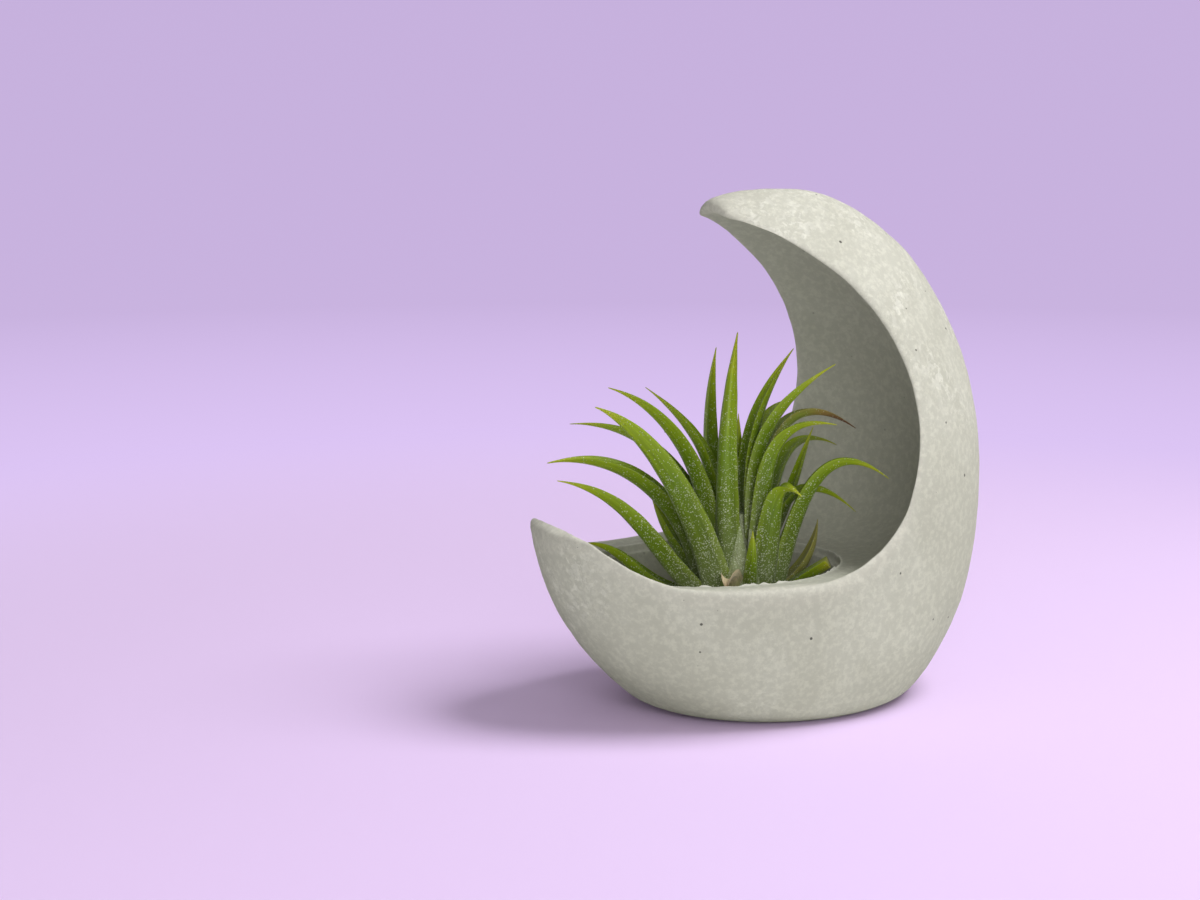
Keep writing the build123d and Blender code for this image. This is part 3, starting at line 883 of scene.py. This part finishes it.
def leaf_material(name, stops, edge_colour, silver, silver_share, roughness=0.45, vein=0.22):
    """Leaf finish: colours along the blade, an edge colour, fine lengthwise veins, and silvery
    flecks in clumps, most of them near the base."""
    material, tree, output, place = new_material(name)
    along, across, upper = kept_marks(tree, ("along", "across", "upper"))
    uneven = noise(tree, (-1600, 300), place, 190, 3, 0.6)
    drift = sums(tree, (-1400, 300), "MULTIPLY_ADD", uneven, 0.16,
                 sums(tree, (-1500, 200), "SUBTRACT", along, 0.08))
    colour = colour_ramp(tree, (-1200, 300), drift, stops)
    strip = node(tree, "ShaderNodeCombineXYZ", (-1600, -600))
    link(tree, [(sums(tree, (-1700, -600), "MULTIPLY", across, 9.0), strip.inputs[0]),
                (along, strip.inputs[1]),
                (sums(tree, (-1700, -700), "MULTIPLY", upper, 1.3), strip.inputs[2])])
    veins = noise(tree, (-1400, -600), strip.outputs[0], 2.2, 3, 0.6)
    edge = between(tree, (-1100, 0), across, 0.72, 1.0, 0.0, 0.6)
    colour = blend_colour(tree, (-900, 300), edge, colour, edge_colour)
    shade = between(tree, (-1100, -500), veins, 0.3, 0.7, 1 - vein, 1 + vein)
    colour = shaded(tree, (-900, -500), colour, shade)
    share = between(tree, (-900, -800), along, 0.05, 0.85, silver_share, silver_share * 0.14)
    clumps = noise(tree, (-1400, -900), place, 420, 3, 0.6)
    clumps = between(tree, (-1200, -900), clumps, 0.35, 0.62, 0.35, 1.35)
    share = sums(tree, (-800, -900), "MULTIPLY", share, clumps)
    flecks = []
    for scale in FLECK_CELLS:
        spots = node(tree, "ShaderNodeGroup", (-700, -700 - 200 * len(flecks)), node_tree=scales,
                     in_Cell_Scale=scale)
        link(tree, [(place, spots.inputs["Place"]), (share, spots.inputs["Share"])])
        flecks.append(spots.outputs["Fleck"])
    fleck = sums(tree, (-500, -700), "MAXIMUM", *flecks)
    haze = between(tree, (-700, -300), along, 0.0, 0.35, BASE_HAZE, 0.0)
    cover = sums(tree, (-300, -500), "MULTIPLY_ADD", fleck, FLECK_COVER, haze, clamp=True)
    colour = blend_colour(tree, (0, 300), cover, colour, silver)
    height = sums(tree, (-200, -900), "MULTIPLY_ADD", veins, 0.6, fleck)
    surface(tree, output, colour, roughness, height, 0.4, 0.00016,
            in_Specular_IOR_Level=0.35, in_Sheen_Weight=0.12, in_Sheen_Roughness=0.5)
    return material


SILVER = (0.66, 0.71, 0.50)
# colours from the base of a leaf, 0, to its tip, 1
GREEN_STOPS = ((0.0, (0.105, 0.155, 0.018)), (0.2, (0.112, 0.175, 0.004)),
               (0.5, (0.135, 0.225, 0.002)), (0.82, (0.29, 0.40, 0.004)), (1.0, (0.50, 0.52, 0.02)))
RED_STOPS = ((0.0, (0.30, 0.36, 0.16)), (0.25, (0.19, 0.27, 0.05)), (0.7, (0.22, 0.28, 0.03)),
             (0.82, (0.30, 0.20, 0.05)), (0.93, (0.13, 0.05, 0.03)))
OLIVE_STOPS = ((0.0, (0.30, 0.34, 0.16)), (0.4, (0.24, 0.25, 0.055)), (1.0, (0.36, 0.33, 0.09)))
STRAW_STOPS = ((0.0, (0.40, 0.42, 0.14)), (0.3, (0.62, 0.52, 0.30)), (0.75, (0.64, 0.52, 0.33)),
               (1.0, (0.34, 0.19, 0.10)))
leaf_finishes = {
    "leaf": leaf_material("fresh_leaf", GREEN_STOPS, (0.24, 0.33, 0.012), SILVER, 0.50, 0.40),
    "old_leaf": leaf_material("red_tipped_leaf", RED_STOPS, (0.28, 0.24, 0.06), SILVER, 0.5),
    "olive_leaf": leaf_material("olive_young_leaf", OLIVE_STOPS, (0.32, 0.30, 0.06), SILVER, 0.25),
    "dried_leaf": leaf_material("straw_dry_leaf", STRAW_STOPS, (0.60, 0.48, 0.30),
                                (0.7, 0.62, 0.46), 0.12, 0.75, 0.3),
}
leaf_slots = {"leaf_red_tipped": "old_leaf", "leaf_olive": "olive_leaf", "dried_leaf": "dried_leaf"}

for seed, (name, (azimuth, root_turn, width, *shares)) in enumerate(LEAVES.items(), start=100):
    draw = np.random.default_rng(seed)
    taper, channel, thick, ripple = pointed, 0.8, LEAF_THICKNESS * (0.45 + 0.65 * width), 0.03
    twist = math.radians(draw.uniform(-16, 16))
    if name == "cut_leaf_stub":
        taper, twist, width, channel = blunt, 0.0, width * 1.25, 0.45
    if name == "dried_leaf":
        channel, thick, ripple, twist = 0.95, 0.5, 0.22, math.radians(50)
    rings, marks = blade(azimuth, root_turn, width, shares, taper, thick, channel, twist, ripple,
                         seed)
    end = rings[-1].mean(0)
    tip = end if name == "cut_leaf_stub" else end + 0.6 * (end - rings[-2].mean(0))
    mesh = skin(name + "_blade", rings, marks, end=tip)
    slot = leaf_slots.get(name, "leaf")
    put(name + "_blade", mesh, leaf_finishes[slot], "plant", name)

# Bulb. The leaf bases wrap round one another into a small pale bulb, silvery with scales. It
# stands in for the plain core: short broad sheaths in three rows, each over the next.
BULB_LEVELS, BULB_BELLY_SHARE = (20.9, 44.9), 0.33
BULB_FOOT_RADIUS, BULB_RADIUS, BULB_NECK_RADIUS = 3.6, 8.0, 2.4
# in each row: how many, their radius in mm, and their foot and tip as shares of the plant's rise
SHEATH_ROWS = ((9, 8.3, 0.06, 0.30), (8, 7.6, 0.10, 0.37), (6, 6.6, 0.14, 0.43))


def bulb_rings(rows=40, cols=48):
    """A round bulb that narrows to a neck: its radius is a sine above and below the belly."""
    rise = np.linspace(0, 1, rows)[:, None]
    below = np.sin(rise / BULB_BELLY_SHARE * math.pi / 2)
    above = 0.5 + 0.5 * np.cos((rise - BULB_BELLY_SHARE) / (1 - BULB_BELLY_SHARE) * math.pi)
    radius = np.where(rise < BULB_BELLY_SHARE,
                      BULB_FOOT_RADIUS + (BULB_RADIUS - BULB_FOOT_RADIUS) * below,
                      BULB_NECK_RADIUS + (BULB_RADIUS - BULB_NECK_RADIUS) * above)
    turn = np.linspace(0, 2 * math.pi, cols, endpoint=False)
    radius = radius * (1 + 0.02 * np.sin(11 * turn))
    level = BULB_LEVELS[0] + rise * (BULB_LEVELS[1] - BULB_LEVELS[0]) + 0 * turn
    return np.stack([PLANT_X + radius * np.cos(turn), PLANT_Y + radius * np.sin(turn), level],
                    -1)


def join(name, meshes):
    """One mesh of several, with their marks kept."""
    points, faces = [], []
    for mesh in meshes:
        faces += [[len(points) + corner for corner in face.vertices] for face in mesh.polygons]
        points += [vertex.co.to_tuple() for vertex in mesh.vertices]
    whole = bpy.data.meshes.new(name)
    whole.from_pydata(points, [], faces)
    for mark in ("along", "across", "upper"):
        values = [item.value for mesh in meshes for item in mesh.attributes[mark].data]
        whole.attributes.new(mark, "FLOAT", "POINT").data.foreach_set("value", values)
    whole.shade_smooth()
    for mesh in meshes:
        bpy.data.meshes.remove(mesh)
    return whole


rings = bulb_rings()
grid = np.ones(rings.shape[:2])
parts = [skin("bulb", rings, {"along": 0.15 * grid, "across": 0.3 * grid, "upper": 0.0 * grid})]
for order, (count, radius, low, high) in enumerate(SHEATH_ROWS):
    for index in range(count):
        azimuth = 360 / count * index + 23 * order
        share = radius / PLANT_REACH
        shares = ((share * 0.45, low), (share * 1.08, low + 0.03),
                  (share * 1.02, (low + high) / 2 + 0.04), (share * 0.72, high))
        rings, marks = blade(azimuth, 0, 0.86 - 0.1 * order, shares, pointed, 0.7, 0.5, 0.0, 0.02,
                             300 + 20 * order + index, rows=30, cols=16)
        marks["along"] = marks["along"] * 0.35
        parts.append(skin("sheath", rings, marks))
SHEATH_STOPS = ((0.0, (0.34, 0.36, 0.22)), (0.35, (0.26, 0.33, 0.12)), (1.0, (0.2, 0.3, 0.08)))
leaf_base = leaf_material("silvery_leaf_base", SHEATH_STOPS, (0.42, 0.44, 0.28), SILVER, 0.75)
put("plant_bulb", join("plant_bulb", parts), leaf_base, "plant", "plant_core")

# Roots. A short tuft of dry wiry roots under the bulb, dark brown and bent in all directions.
ROOT_COUNT, ROOT_POINTS, ROOT_RADIUS, TUFT_RADIUS = 18, 16, 0.26, 3.6
ROOT_TOP, ROOT_BOTTOM = 21.6, 18.25


def wire(path, radius, cols=8):
    """A round tube along a path of points, thinner towards its end."""
    run = unit(np.gradient(path, axis=0))
    side = unit(np.cross(run, [0.31, 0.77, 0.55]))
    up = np.cross(run, side)
    turn = np.linspace(0, 2 * math.pi, cols, endpoint=False)
    cos, sin = np.cos(turn)[:, None], np.sin(turn)[:, None]
    size = radius * np.linspace(1, 0.55, len(path))[:, None, None]
    return path[:, None] + size * (side[:, None] * cos + up[:, None] * sin)


parts = []
for index in range(ROOT_COUNT):
    draw = np.random.default_rng(500 + index)
    turn = 2 * math.pi * (index + draw.uniform(-0.3, 0.3)) / ROOT_COUNT
    along = np.linspace(0, 1, ROOT_POINTS)
    out = np.linspace(0.6, TUFT_RADIUS * draw.uniform(0.5, 1.0), ROOT_POINTS)
    drop = along ** draw.uniform(0.7, 1.6)
    bearing = turn + draw.uniform(-1.1, 1.1) * along
    path = np.stack([PLANT_X + out * np.cos(bearing), PLANT_Y + out * np.sin(bearing),
                     ROOT_TOP - (ROOT_TOP - ROOT_BOTTOM) * drop * draw.uniform(0.6, 1.0)], -1)
    rings = wire(path, ROOT_RADIUS)
    grid = np.ones(rings.shape[:2])
    marks = {"along": along[:, None] * grid, "across": 0.2 * grid, "upper": 0.0 * grid}
    parts.append(skin("root", rings, marks))
root_finish, tree, output, place = new_material("dry_wiry_root")
fibre = noise(tree, (-700, 0), place, 1400, 4, 0.6)
colour = blend_colour(tree, (-300, 200), fibre, (0.13, 0.075, 0.04), (0.40, 0.29, 0.18))
surface(tree, output, colour, 0.8, fibre, 0.5, 0.0001)
put("root_tuft_wires", join("root_tuft_wires", parts), root_finish, "plant",
    "root_tuft")

low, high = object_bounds()
